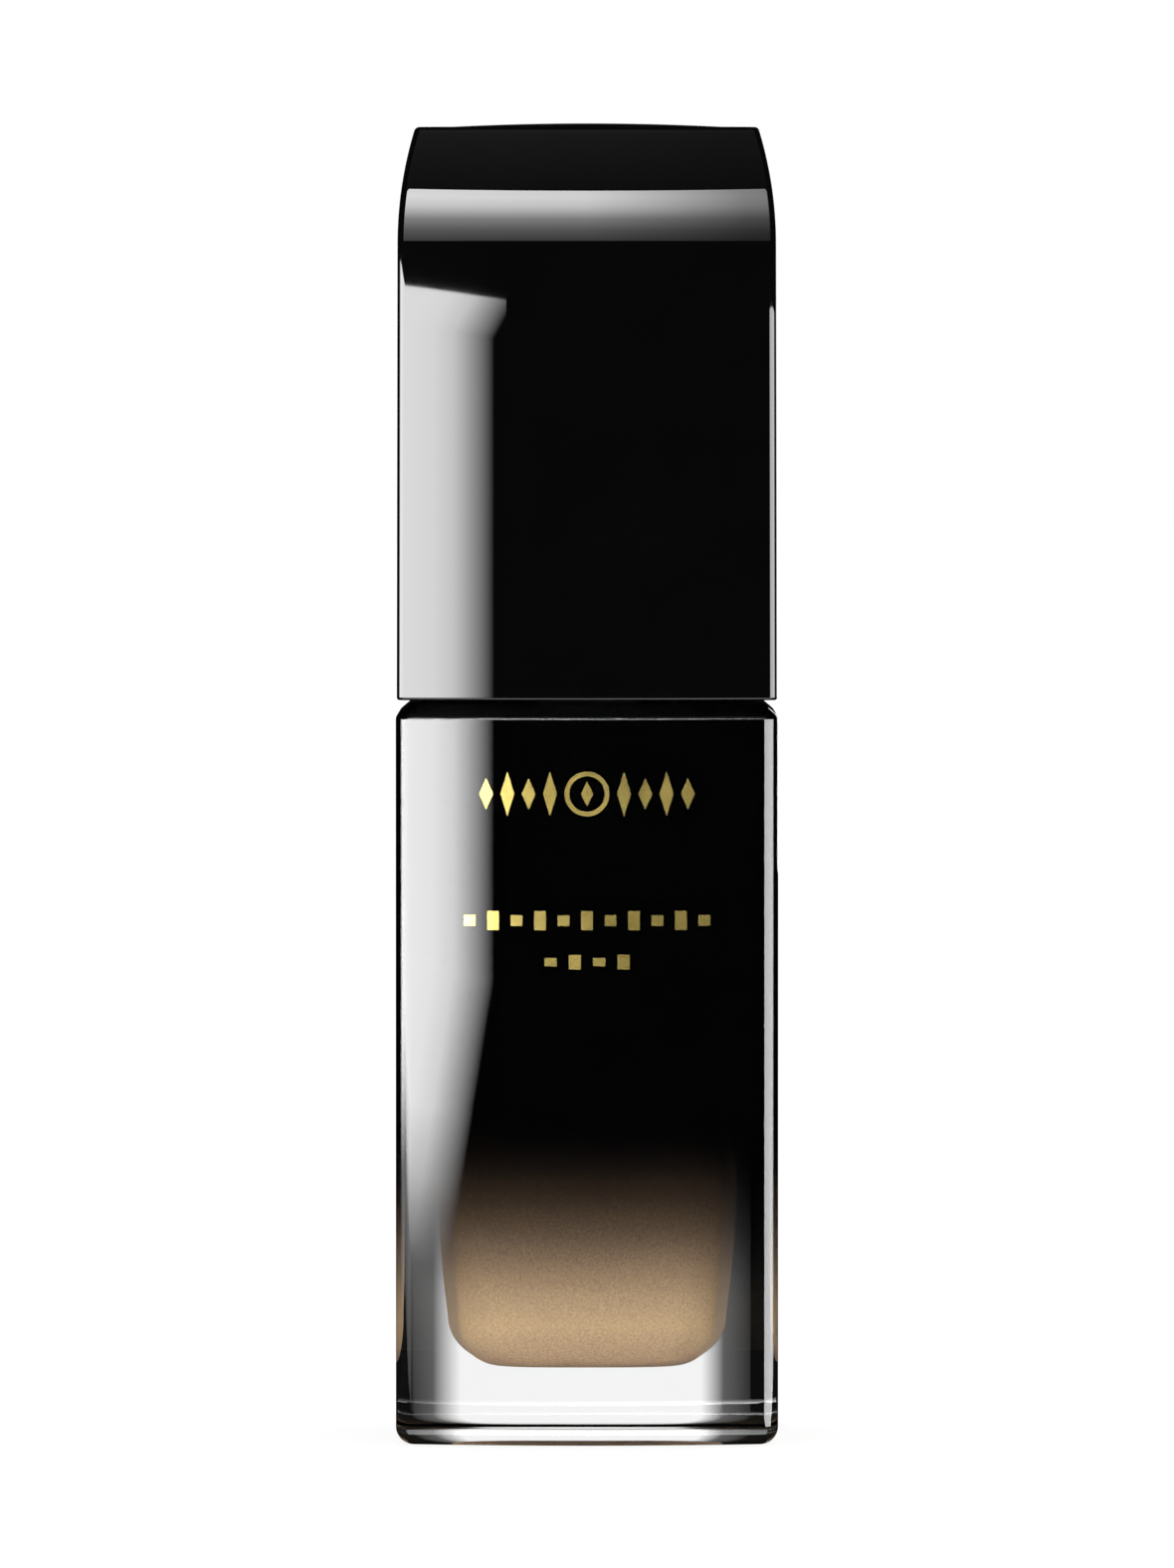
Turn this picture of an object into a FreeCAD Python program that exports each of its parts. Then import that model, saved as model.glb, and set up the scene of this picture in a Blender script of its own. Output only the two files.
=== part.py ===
import FreeCAD, Part
import math
import os

from FreeCAD import Vector

# A square foundation bottle of heavy glass with a screwed-on pump and a tall overcap.
# Millimetres. +Z is up, the front faces -Y, the origin is the middle of the base.

# --- bottle -------------------------------------------------------------------------------------
GLASS_HALF = 17.1          # half of the width, and of the depth at the middle of the bowed faces
FACE_RADIUS = 62.0         # plan radius of the bowed front and back faces
GLASS_CORNER = 1.8         # plan radius of the upright corners
HEEL_RADIUS = 1.6          # rounding round the base
SHOULDER_START = 65.2      # where the shoulder chamfer begins
SHOULDER_TOP = 66.4        # flat top of the shoulder
SHOULDER_INSET = 1.4       # how far the chamfer comes in
SHOULDER_ROUND = 0.7       # rounding where the wall meets the chamfer
CAVITY_HALF = 11.7         # inside half width
CAVITY_FLOOR = 6.7         # lowest part of the inside
CAVITY_FLARE_TOP = 22.5    # the inside is narrower below this height
CAVITY_TAPER = 1.0         # how much narrower it is at the floor
CAVITY_CORNER = 4.0        # plan radius of the inside corners
CAVITY_FLOOR_ROUND = 3.4   # rounding round the floor
CAVITY_PUSH_UP = 0.4       # rise in the middle of the floor
CAVITY_TOP = 62.5          # ceiling at the neck bore
RECESS_DEPTH = 0.5         # shallow recess under the base
RECESS_INSET = 5.2         # ring left to stand on

# --- neck and thread ----------------------------------------------------------------------------
NECK_RADIUS = 8.0
NECK_TOP = 78.3
NECK_BORE = 5.3
THREAD_PITCH = 3.175
THREAD_CREST = 8.85        # outer radius of the bottle's thread
THREAD_START = 69.6        # middle of the thread's lower end
THREAD_TURNS = 1.4
CLOSURE_ROOT = 9.05        # inside radius of the closure's skirt
CLOSURE_CREST = 8.2        # inside radius of the closure's thread
CLOSURE_TURNS = 1.2

# --- filling and base label ---------------------------------------------------------------------
FILL_LEVEL = 55.0
FILL_GAP = 0.04
TUBE_WAY = 0.4             # space round the pump inside the filling
LABEL_THICKNESS = 0.12

# --- foil ---------------------------------------------------------------------------------------
FOIL_THICKNESS = 0.06
EMBLEM_HEIGHT = 58.3       # height of the ornament's middle
EMBLEM_TALL = 4.0
RULE_UPPER = 47.0
RULE_LOWER = 43.3

# --- pump ---------------------------------------------------------------------------------------
GASKET = (78.32, 79.18)
FLANGE = (79.2, 80.2)
FLANGE_RADIUS = 7.9
RIM_RADIUS = 6.9
RIM_TOP = 83.2
CUP_RADIUS = 5.9
CUP_FLOOR = 80.6
CYLINDER_BORE = 4.0
CYLINDER_OUTER = 4.9
LEDGE = 62.6               # the spring stands on this ledge
BALL_STOP = 62.25          # underside of the three stops over the inlet ball
SEAT_HOLE = 1.1
SEAT_HEIGHT = 58.6
SOCKET_BOTTOM = 50.0
DIP_TUBE_OUTER = 1.5
DIP_TUBE_BORE = 1.0
DIP_TUBE_BOTTOM = 8.0
BALL_RADIUS = 1.5
BALL_CLEARANCE = 0.02
WIRE_RADIUS = 0.3
SPRING_RADIUS = 3.2
SPRING_TURNS = 4.5
STEM_RADIUS = 2.2
STEM_BORE = 1.2
STEM_TOP = 92.4
PLUG = (70.2, 71.2)        # foot of the stem
PISTON = (71.25, 75.5)

# --- actuator -----------------------------------------------------------------------------------
ACTUATOR_RADIUS = 8.5
COVER_RADIUS = 9.0
ACTUATOR_BOTTOM = 89.6
ACTUATOR_TOP = 103.3
COVER_TOP = 103.9
SKIRT_RADIUS = 5.9
SKIRT_BOTTOM = 87.9
SPOUT_HEIGHT = 97.6
SPOUT_TIP = 10.3           # how far the spout reaches forward of the axis
SPOUT_RADIUS = 1.9

# --- closure and collar -------------------------------------------------------------------------
COLLAR_BOTTOM = 67.3
CLOSURE_RADIUS = 10.4
CLOSURE_TOP = 81.4
SLEEVE_INNER = 10.45
SLEEVE_OUTER = 10.95
SLEEVE_TOP = 84.6
SLEEVE_HOLE = 6.4

# --- overcap ------------------------------------------------------------------------------------
CAP_BOTTOM = 66.6
CAP_HALF = 17.0
CAP_DRAFT = 0.08           # how much narrower it is on each side where the lean begins
CAP_CORNER = 0.9
LEAN_START = 107.3         # above this the four sides lean in on an arc
LEAN_RADIUS = 35.5
CAP_TOP = 118.3
CROWN_RADIUS = 240.0       # the top is slightly domed
CAP_TOP_EDGE = 0.5
CAP_BOTTOM_EDGE = 0.25
CAP_WALL = 1.8
CAP_CEILING = 115.6
LINER_BOTTOM = 67.2
LINER_PLATE = 1.2
LINER_TOP = 86.0
LINER_BORE = 11.03
LINER_OUTER = 12.1


def outline(half, radius, corner, z):
    """A closed square outline: flat left and right sides, bowed front and back, round corners."""
    centre_y = radius - half
    cx = half - corner
    cy = math.sqrt((radius - corner) ** 2 - cx ** 2) - centre_y
    lean = math.atan2(cx, cy + centre_y)
    tx, ty = radius * math.sin(lean), radius * math.cos(lean) - centre_y
    turn = (math.pi / 2 + lean) / 2
    mx, my = cx + corner * math.sin(turn), cy + corner * math.cos(turn)

    def at(x, y):
        return Vector(x, y, z)

    edges = []
    for sx, sy in ((1, -1), (1, 1), (-1, 1), (-1, -1)):
        arc = Part.Arc(at(sx * tx, sy * ty), at(sx * mx, sy * my), at(sx * half, sy * cy)).toShape()
        edges.append(arc)
        if (sx, sy) == (1, -1):
            edges.append(Part.makeLine(at(half, -cy), at(half, cy)))
        elif (sx, sy) == (1, 1):
            edges.append(Part.Arc(at(tx, ty), at(0, half), at(-tx, ty)).toShape())
        elif (sx, sy) == (-1, 1):
            edges.append(Part.makeLine(at(-half, cy), at(-half, -cy)))
        else:
            edges.append(Part.Arc(at(-tx, -ty), at(0, -half), at(tx, -ty)).toShape())
    return Part.Wire(Part.__sortEdges__(edges))


def inset_outline(inset, corner, z):
    """The bottle's outline moved in by inset on every side."""
    return outline(GLASS_HALF - inset, FACE_RADIUS - inset, corner, z)


def prism(wire, height):
    """The upright prism on a flat outline."""
    return Part.Face(wire).extrude(Vector(0, 0, height))


def loft(wires, ruled=True):
    """The solid through a stack of outlines."""
    return Part.makeLoft(wires, True, ruled)


def disc(radius, low, high):
    """An upright cylinder on the axis between two heights."""
    return Part.makeCylinder(radius, high - low, Vector(0, 0, low))


def ring(outer, inner, low, high):
    """An upright tube on the axis between two heights."""
    return disc(outer, low, high).cut(disc(inner, low - 1, high + 1))


def turned(points):
    """The solid that a closed (radius, height) outline sweeps round the axis."""
    wire = Part.makePolygon([Vector(r, 0, z) for r, z in points + points[:1]])
    return Part.Face(wire).revolve(Vector(0, 0, 0), Vector(0, 0, 1), 360)


def edges_at(shape, height):
    """The edges that lie in one level plane."""
    return [
        e for e in shape.Edges
        if abs(e.BoundBox.ZMin - height) < 1e-4 and abs(e.BoundBox.ZMax - height) < 1e-4
    ]


def thread(root, crest, base_half, crest_half, low, turns):
    """A thread ridge with sloping flanks, from root radius to crest radius."""
    helix = Part.makeHelix(THREAD_PITCH, THREAD_PITCH * turns, root)
    profile = Part.makePolygon([
        Vector(root, 0, -base_half), Vector(crest, 0, -crest_half),
        Vector(crest, 0, crest_half), Vector(root, 0, base_half), Vector(root, 0, -base_half),
    ])
    ridge = Part.Wire(helix.Edges).makePipeShell([profile], True, True)
    ridge.translate(Vector(0, 0, low))
    return Part.Solid(ridge) if ridge.ShapeType != "Solid" else ridge


def cavity(gap):
    """The inside of the bottle below the neck, smaller by gap on every side."""
    wall = GLASS_HALF - CAVITY_HALF + gap
    floor = CAVITY_FLOOR + gap
    body = loft([
        inset_outline(wall + CAVITY_TAPER, CAVITY_CORNER, floor),
        inset_outline(wall, CAVITY_CORNER, CAVITY_FLARE_TOP),
        inset_outline(wall, CAVITY_CORNER, CAVITY_TOP),
    ])
    body = body.makeFillet(CAVITY_FLOOR_ROUND, edges_at(body, floor))
    dome = Part.makeSphere(150.0, Vector(0, 0, CAVITY_FLOOR + CAVITY_PUSH_UP + gap - 150.0))
    body = body.cut(dome)
    reach = CAVITY_HALF * 2
    fall = (reach - NECK_BORE) * 0.35
    hip = turned([
        (0, floor - 5), (reach, floor - 5), (reach, CAVITY_TOP - fall - gap),
        (NECK_BORE, CAVITY_TOP - gap), (0, CAVITY_TOP - gap),
    ])
    return body.common(hip)


def glass_bottle():
    """Heavy-based glass: square body, chamfered shoulder, threaded neck, hollow inside."""
    body = prism(inset_outline(0, GLASS_CORNER, 0), SHOULDER_START)
    shoulder = loft([
        inset_outline(0, GLASS_CORNER, SHOULDER_START),
        inset_outline(SHOULDER_INSET, GLASS_CORNER * 0.6, SHOULDER_TOP),
    ])
    body = body.fuse(shoulder)
    body = body.makeFillet(SHOULDER_ROUND, edges_at(body, SHOULDER_START))
    body = body.makeFillet(HEEL_RADIUS, edges_at(body, 0))
    recess = prism(inset_outline(RECESS_INSET, CAVITY_CORNER, -1), 1 + RECESS_DEPTH)
    neck = disc(NECK_RADIUS, SHOULDER_TOP - 1, NECK_TOP)
    neck = neck.makeFillet(0.5, edges_at(neck, NECK_TOP))
    ridge = thread(NECK_RADIUS - 0.3, THREAD_CREST, 1.0, 0.45, THREAD_START, THREAD_TURNS)
    body = body.fuse([neck, ridge])
    return body.cut([recess, cavity(0), disc(NECK_BORE, CAVITY_TOP - 2, NECK_TOP + 1)])


def foundation_fill():
    """The liquid, with a way through it for the pump."""
    level = prism(inset_outline(0, GLASS_CORNER, 0), FILL_LEVEL)
    way = disc(DIP_TUBE_OUTER + TUBE_WAY, DIP_TUBE_BOTTOM - 0.5, SOCKET_BOTTOM + 1)
    socket_way = disc(2.6 + TUBE_WAY, SOCKET_BOTTOM - TUBE_WAY, FILL_LEVEL + 1)
    return cavity(FILL_GAP).common(level).cut([way, socket_way])


def base_label():
    """A thin blank sticker in the recess under the base."""
    top = RECESS_DEPTH - 0.02
    return prism(inset_outline(RECESS_INSET + 0.8, CAVITY_CORNER, top - LABEL_THICKNESS), LABEL_THICKNESS)


def foil_skin():
    """A thin shell lying on the front face, from which the foil shapes are cut."""
    outer = prism(outline(GLASS_HALF + 0.01 + FOIL_THICKNESS, FACE_RADIUS + 0.01 + FOIL_THICKNESS,
                          GLASS_CORNER, 30), 33)
    inner = prism(outline(GLASS_HALF + 0.01, FACE_RADIUS + 0.01, GLASS_CORNER, 29), 35)
    front = Part.makeBox(30, 10, 40, Vector(-15, -GLASS_HALF - 2, 28))
    return outer.cut(inner).common(front)


def foil_shapes(flats):
    """The flat shapes, given as faces in the XZ plane, laid on the bowed front."""
    skin = foil_skin()
    found = []
    for face in flats:
        stick = face.extrude(Vector(0, -2 * GLASS_HALF, 0))
        found += stick.common(skin).Solids
    return Part.makeCompound(found)


def flat_polygon(points):
    """A flat shape in the XZ plane."""
    return Part.Face(Part.makePolygon([Vector(x, 0, z) for x, z in points + points[:1]]))


def flat_ring(x, z, outer, inner):
    """A flat ring in the XZ plane."""
    axis = Vector(0, 1, 0)
    big = Part.Face(Part.Wire(Part.makeCircle(outer, Vector(x, 0, z), axis)))
    return big.cut(Part.Face(Part.Wire(Part.makeCircle(inner, Vector(x, 0, z), axis))))


def foil_emblem():
    """A row of slender lozenges on both sides of a ring with a lozenge in it."""
    half = EMBLEM_TALL / 2
    z = EMBLEM_HEIGHT
    flats = [flat_ring(0, z, half, half - 0.42)]
    flats.append(flat_polygon([(0, z - 1.1), (0.55, z), (0, z + 1.1), (-0.55, z)]))
    for side in (-1, 1):
        for i, tall in enumerate((1.0, 0.7, 1.0, 0.7)):
            x = side * (3.3 + 1.9 * i)
            h = half * tall
            flats.append(flat_polygon([(x, z - h), (x + 0.62, z), (x, z + h), (x - 0.62, z)]))
    return foil_shapes(flats)


def foil_rules():
    """Two fine broken rules, a long one above a short one."""
    flats = []
    for z, half_width, tall in ((RULE_UPPER, 11.0, 1.7), (RULE_LOWER, 3.8, 1.3)):
        count = int(half_width / 0.95)
        step = 2 * half_width / (2 * count - 1)
        for i in range(count):
            x = -half_width + 2 * step * i
            h = tall * (0.5 if i % 2 else 0.28)
            flats.append(flat_polygon([(x, z - h), (x + step, z - h), (x + step, z + h), (x, z + h)]))
    return foil_shapes(flats)


def neck_gasket():
    """Flat seal between the neck and the pump."""
    return ring(7.6, 4.98, *GASKET)


def pump_housing():
    """The pump's cylinder: flange and cup on top, ball seat and dip tube socket below."""
    body = turned([
        (SEAT_HOLE, SEAT_HEIGHT - 0.5), (SEAT_HOLE, SEAT_HEIGHT),
        (SEAT_HOLE + 1.3, SEAT_HEIGHT + 1.3), (2.4, LEDGE), (CYLINDER_BORE, LEDGE),
        (CYLINDER_BORE, CUP_FLOOR), (CUP_RADIUS, CUP_FLOOR), (CUP_RADIUS, RIM_TOP),
        (RIM_RADIUS, RIM_TOP), (RIM_RADIUS, FLANGE[1]), (FLANGE_RADIUS, FLANGE[1]),
        (FLANGE_RADIUS, FLANGE[0]), (CYLINDER_OUTER, FLANGE[0]), (CYLINDER_OUTER, LEDGE - 1.2),
        (2.6, SEAT_HEIGHT - 0.8), (2.6, SOCKET_BOTTOM), (DIP_TUBE_OUTER + 0.02, SOCKET_BOTTOM),
        (DIP_TUBE_OUTER + 0.02, SEAT_HEIGHT - 0.5),
    ])
    stops = []
    for angle in range(0, 360, 120):
        stop = Part.makeBox(2.0, 0.5, LEDGE - BALL_STOP, Vector(1.0, -0.25, BALL_STOP))
        stop.rotate(Vector(0, 0, 0), Vector(0, 0, 1), angle)
        stops.append(stop)
    return body.fuse(stops)


def stem_guide():
    """Insert that closes the housing and guides the stem."""
    return turned([
        (STEM_RADIUS + 0.08, 77.75), (CYLINDER_BORE - 0.03, 77.75),
        (CYLINDER_BORE - 0.03, CUP_FLOOR + 0.03), (CUP_RADIUS - 0.03, CUP_FLOOR + 0.03),
        (CUP_RADIUS - 0.03, CUP_FLOOR + 1.2), (3.6, CUP_FLOOR + 1.2), (3.2, RIM_TOP),
        (STEM_RADIUS + 0.08, RIM_TOP),
    ])


def dip_tube():
    """Thin tube down to the floor of the bottle, its end cut on a slant."""
    tube = ring(DIP_TUBE_OUTER, DIP_TUBE_BORE, DIP_TUBE_BOTTOM, SEAT_HEIGHT - 0.6)
    slant = Part.makeBox(10, 10, 6, Vector(-5, -5, -6))
    slant.rotate(Vector(0, 0, 0), Vector(1, 0, 0), 30)
    slant.translate(Vector(0, 0, DIP_TUBE_BOTTOM + 1.0))
    return tube.cut(slant)


def inlet_ball():
    """Steel ball that rests on the conical seat."""
    height = SEAT_HEIGHT - SEAT_HOLE + (BALL_RADIUS + BALL_CLEARANCE) * math.sqrt(2)
    return Part.makeSphere(BALL_RADIUS, Vector(0, 0, height))


def return_spring():
    """Compression spring between the ledge and the foot of the stem."""
    low = LEDGE + WIRE_RADIUS + 0.03
    high = PLUG[0] - WIRE_RADIUS - 0.03
    helix = Part.makeHelix((high - low) / SPRING_TURNS, high - low, SPRING_RADIUS)
    circle = Part.Wire(Part.makeCircle(WIRE_RADIUS, Vector(SPRING_RADIUS, 0, 0), Vector(0, 1, 0)))
    coil = Part.Wire(helix.Edges).makePipeShell([circle], True, True)
    coil.translate(Vector(0, 0, low))
    return coil


def piston():
    """Seal that slides in the housing's bore and, a little, on the stem."""
    low, high = PISTON
    inner = STEM_RADIUS + 0.05
    lip = CYLINDER_BORE - 0.05
    return turned([
        (inner, low + 0.5), (lip - 0.5, low), (lip, low), (lip, low + 0.8), (lip - 0.6, low + 1.3),
        (lip - 0.6, high - 1.3), (lip, high - 0.8), (lip, high), (lip - 0.5, high),
        (lip - 1.0, high - 0.7), (inner, high - 0.7),
    ])


def stem():
    """Hollow tube from the piston up into the actuator, with side ports under the piston."""
    tube = turned([
        (STEM_BORE, PLUG[1] + 0.05), (STEM_RADIUS, PLUG[1] + 0.05), (STEM_RADIUS, 75.7),
        (STEM_RADIUS + 0.6, 76.3), (STEM_RADIUS + 0.6, 77.6), (STEM_RADIUS, 77.6),
        (STEM_RADIUS, STEM_TOP), (STEM_BORE, STEM_TOP),
    ])
    port = Part.makeCylinder(0.45, 8, Vector(-4, 0, 73.6), Vector(1, 0, 0))
    return tube.cut(port)


def stem_plug():
    """Foot of the stem: a disc that carries the spring, with a spigot up into the stem."""
    return turned([
        (0, PLUG[0]), (3.6, PLUG[0]), (3.6, PLUG[1]), (STEM_BORE - 0.02, PLUG[1]),
        (STEM_BORE - 0.02, 72.9), (0, 72.9),
    ])


def screw_closure():
    """Threaded ring that clamps the pump's flange on the neck."""
    body = turned([
        (CLOSURE_ROOT, COLLAR_BOTTOM + 0.1), (CLOSURE_RADIUS, COLLAR_BOTTOM + 0.1),
        (CLOSURE_RADIUS, CLOSURE_TOP), (RIM_RADIUS + 0.08, CLOSURE_TOP),
        (RIM_RADIUS + 0.08, FLANGE[1] + 0.05), (CLOSURE_ROOT, FLANGE[1] + 0.05),
    ])
    low = THREAD_START - THREAD_PITCH / 2
    ridge = thread(CLOSURE_ROOT + 0.3, CLOSURE_CREST, 0.6, 0.28, low, CLOSURE_TURNS)
    return body.fuse(ridge)


def collar_sleeve():
    """Drawn metal sleeve over the closure."""
    return turned([
        (SLEEVE_INNER, COLLAR_BOTTOM), (SLEEVE_OUTER, COLLAR_BOTTOM),
        (SLEEVE_OUTER, SLEEVE_TOP - 0.4), (SLEEVE_OUTER - 0.4, SLEEVE_TOP),
        (SLEEVE_HOLE, SLEEVE_TOP), (SLEEVE_HOLE, SLEEVE_TOP - 0.5), (RIM_RADIUS + 0.4, SLEEVE_TOP - 0.5),
        (SLEEVE_INNER, SLEEVE_TOP - 0.5),
    ])


def actuator_head():
    """The button: a socket for the stem and a channel forward to the spout."""
    body = disc(ACTUATOR_RADIUS, ACTUATOR_BOTTOM, ACTUATOR_TOP)
    body = body.cut(ring(ACTUATOR_RADIUS - 1.2, SKIRT_RADIUS, ACTUATOR_BOTTOM - 1, 93.4))
    body = body.fuse(disc(SKIRT_RADIUS, SKIRT_BOTTOM, 93.5))
    body = body.cut(ring(SKIRT_RADIUS - 1.0, 3.4, SKIRT_BOTTOM - 1, 91.5))
    spout = Part.makeCylinder(SPOUT_RADIUS, SPOUT_TIP, Vector(0, 0, SPOUT_HEIGHT), Vector(0, -1, 0))
    body = body.fuse(spout)
    socket = disc(STEM_RADIUS + 0.05, SKIRT_BOTTOM - 1, STEM_TOP + 0.05)
    riser = disc(0.9, STEM_TOP, SPOUT_HEIGHT)
    channel = Part.makeCylinder(0.9, SPOUT_TIP + 1, Vector(0, 0, SPOUT_HEIGHT), Vector(0, -1, 0))
    seat = Part.makeCylinder(1.4, 4.5, Vector(0, -SPOUT_TIP + 4, SPOUT_HEIGHT), Vector(0, -1, 0))
    return body.cut([socket, riser, channel, seat])


def actuator_cover():
    """Drawn metal skin over the button, with a dished top and a hole for the spout."""
    shell = ring(COVER_RADIUS, ACTUATOR_RADIUS + 0.03, ACTUATOR_BOTTOM + 0.2, ACTUATOR_TOP + 0.02)
    top = disc(COVER_RADIUS, ACTUATOR_TOP + 0.02, COVER_TOP)
    shell = shell.fuse(top).removeSplitter()
    shell = shell.makeFillet(0.5, edges_at(shell, COVER_TOP))
    dish = Part.makeSphere(60.0, Vector(0, 0, COVER_TOP - 0.35 + 60.0))
    hole = Part.makeCylinder(SPOUT_RADIUS + 0.05, 12, Vector(0, 0, SPOUT_HEIGHT), Vector(0, -1, 0))
    return shell.cut([dish, hole])


def nozzle_insert():
    """Small tube pressed into the spout."""
    length = 3.9
    start = Vector(0, -SPOUT_TIP + length, SPOUT_HEIGHT)
    outer = Part.makeCylinder(1.38, length, start, Vector(0, -1, 0))
    return outer.cut(Part.makeCylinder(0.8, length + 2, start + Vector(0, 1, 0), Vector(0, -1, 0)))


def leaning_stack(half, radius, corner, low, high, start, lean_radius):
    """Upright walls that lean in on an arc above start."""
    drafted = half - CAP_DRAFT
    straight = loft([
        outline(half, radius, corner, low),
        outline(drafted, radius - CAP_DRAFT, corner, start),
    ])
    steps = 6
    wires = []
    for i in range(steps + 1):
        rise = (high - start) * i / steps
        inset = lean_radius - math.sqrt(lean_radius ** 2 - rise ** 2)
        wires.append(outline(drafted - inset, radius - CAP_DRAFT - inset, corner, start + rise))
    return straight.fuse(loft(wires, ruled=False))


def overcap_shell():
    """The outer cap: upright walls, a top that leans in on all sides, hollow inside."""
    body = leaning_stack(CAP_HALF, FACE_RADIUS - 0.1, CAP_CORNER, CAP_BOTTOM, CAP_TOP + 0.6,
                         LEAN_START, LEAN_RADIUS)
    crown = Part.makeSphere(CROWN_RADIUS, Vector(0, 0, CAP_TOP - CROWN_RADIUS))
    body = body.common(crown)
    top = max(body.Faces, key=lambda f: f.CenterOfMass.z)
    body = body.makeFillet(CAP_TOP_EDGE, top.Edges)
    body = body.makeFillet(CAP_BOTTOM_EDGE, edges_at(body, CAP_BOTTOM))
    inside = leaning_stack(CAP_HALF - CAP_WALL, FACE_RADIUS - 0.1 - CAP_WALL, 1.4, CAP_BOTTOM - 1,
                           CAP_CEILING, LEAN_START, LEAN_RADIUS - CAP_WALL)
    return body.cut(inside)


def overcap_liner():
    """Inner sleeve of the cap: a plate across its mouth and a tube that grips the collar."""
    half = CAP_HALF - CAP_WALL - CAP_DRAFT - 0.02
    radius = FACE_RADIUS - 0.1 - CAP_WALL - CAP_DRAFT - 0.02
    plate = prism(outline(half, radius, 1.4, LINER_BOTTOM), LINER_PLATE)
    tube = disc(LINER_OUTER, LINER_BOTTOM, LINER_TOP)
    body = plate.fuse(tube)
    return body.cut(disc(LINER_BORE, LINER_BOTTOM - 1, LINER_TOP + 1)).removeSplitter()


PIECES = {
    "glass_bottle": glass_bottle,
    "foundation_fill": foundation_fill,
    "base_label": base_label,
    "foil_emblem": foil_emblem,
    "foil_rules": foil_rules,
    "neck_gasket": neck_gasket,
    "pump_housing": pump_housing,
    "stem_guide": stem_guide,
    "dip_tube": dip_tube,
    "inlet_ball": inlet_ball,
    "return_spring": return_spring,
    "piston": piston,
    "stem": stem,
    "stem_plug": stem_plug,
    "screw_closure": screw_closure,
    "collar_sleeve": collar_sleeve,
    "actuator_head": actuator_head,
    "actuator_cover": actuator_cover,
    "nozzle_insert": nozzle_insert,
    "overcap_shell": overcap_shell,
    "overcap_liner": overcap_liner,
}


def main():
    """Builds each piece and writes its STEP file."""
    os.makedirs("parts", exist_ok=True)
    for name, build in PIECES.items():
        shape = build()
        print(name, shape.isValid(), len(shape.Solids), round(shape.Volume, 2))
        shape.exportStep(f"parts/{name}.step")


main()
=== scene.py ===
import logging
import math
from dataclasses import dataclass, field
from enum import Enum
from typing import Callable, Sequence

import bpy
import numpy as np
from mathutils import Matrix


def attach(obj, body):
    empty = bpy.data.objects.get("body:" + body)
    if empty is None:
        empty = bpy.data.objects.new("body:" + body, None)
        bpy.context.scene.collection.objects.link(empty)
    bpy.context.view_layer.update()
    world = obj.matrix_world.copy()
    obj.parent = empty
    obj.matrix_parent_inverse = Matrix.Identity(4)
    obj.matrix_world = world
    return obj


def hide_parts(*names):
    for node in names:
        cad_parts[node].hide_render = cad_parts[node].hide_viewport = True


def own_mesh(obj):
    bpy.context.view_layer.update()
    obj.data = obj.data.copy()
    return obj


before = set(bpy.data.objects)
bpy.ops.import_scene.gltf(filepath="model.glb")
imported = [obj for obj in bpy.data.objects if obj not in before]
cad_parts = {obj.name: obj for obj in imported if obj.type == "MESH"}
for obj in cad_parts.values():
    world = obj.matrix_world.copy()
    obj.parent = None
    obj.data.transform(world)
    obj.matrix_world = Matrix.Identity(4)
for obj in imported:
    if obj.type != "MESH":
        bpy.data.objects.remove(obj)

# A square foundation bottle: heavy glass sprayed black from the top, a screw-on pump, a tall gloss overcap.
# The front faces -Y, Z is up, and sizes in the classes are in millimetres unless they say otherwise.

MM = 0.001
log = logging.getLogger("foundation_bottle")
Array = np.ndarray
Colour = tuple[float, float, float]


# ------------------------------------------------------------------------------------------------
# shapes
# ------------------------------------------------------------------------------------------------

def eased(start: float, stop: float, steps: int) -> Array:
    """Heights or insets from start to stop, close together at both ends and wide apart between.

    Args:
        start: first value.
        stop: last value.
        steps: number of gaps.

    Returns:
        steps + 1 values spaced by a half cosine.
    """
    t = (1 - np.cos(np.linspace(0, math.pi, steps + 1))) / 2
    return start + (stop - start) * t


def quarter(steps: int, stop: float = 90.0, start: float = 0.0) -> Array:
    """Angles in radians from start to stop degrees in equal steps."""
    return np.radians(np.linspace(start, stop, steps + 1))


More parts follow.
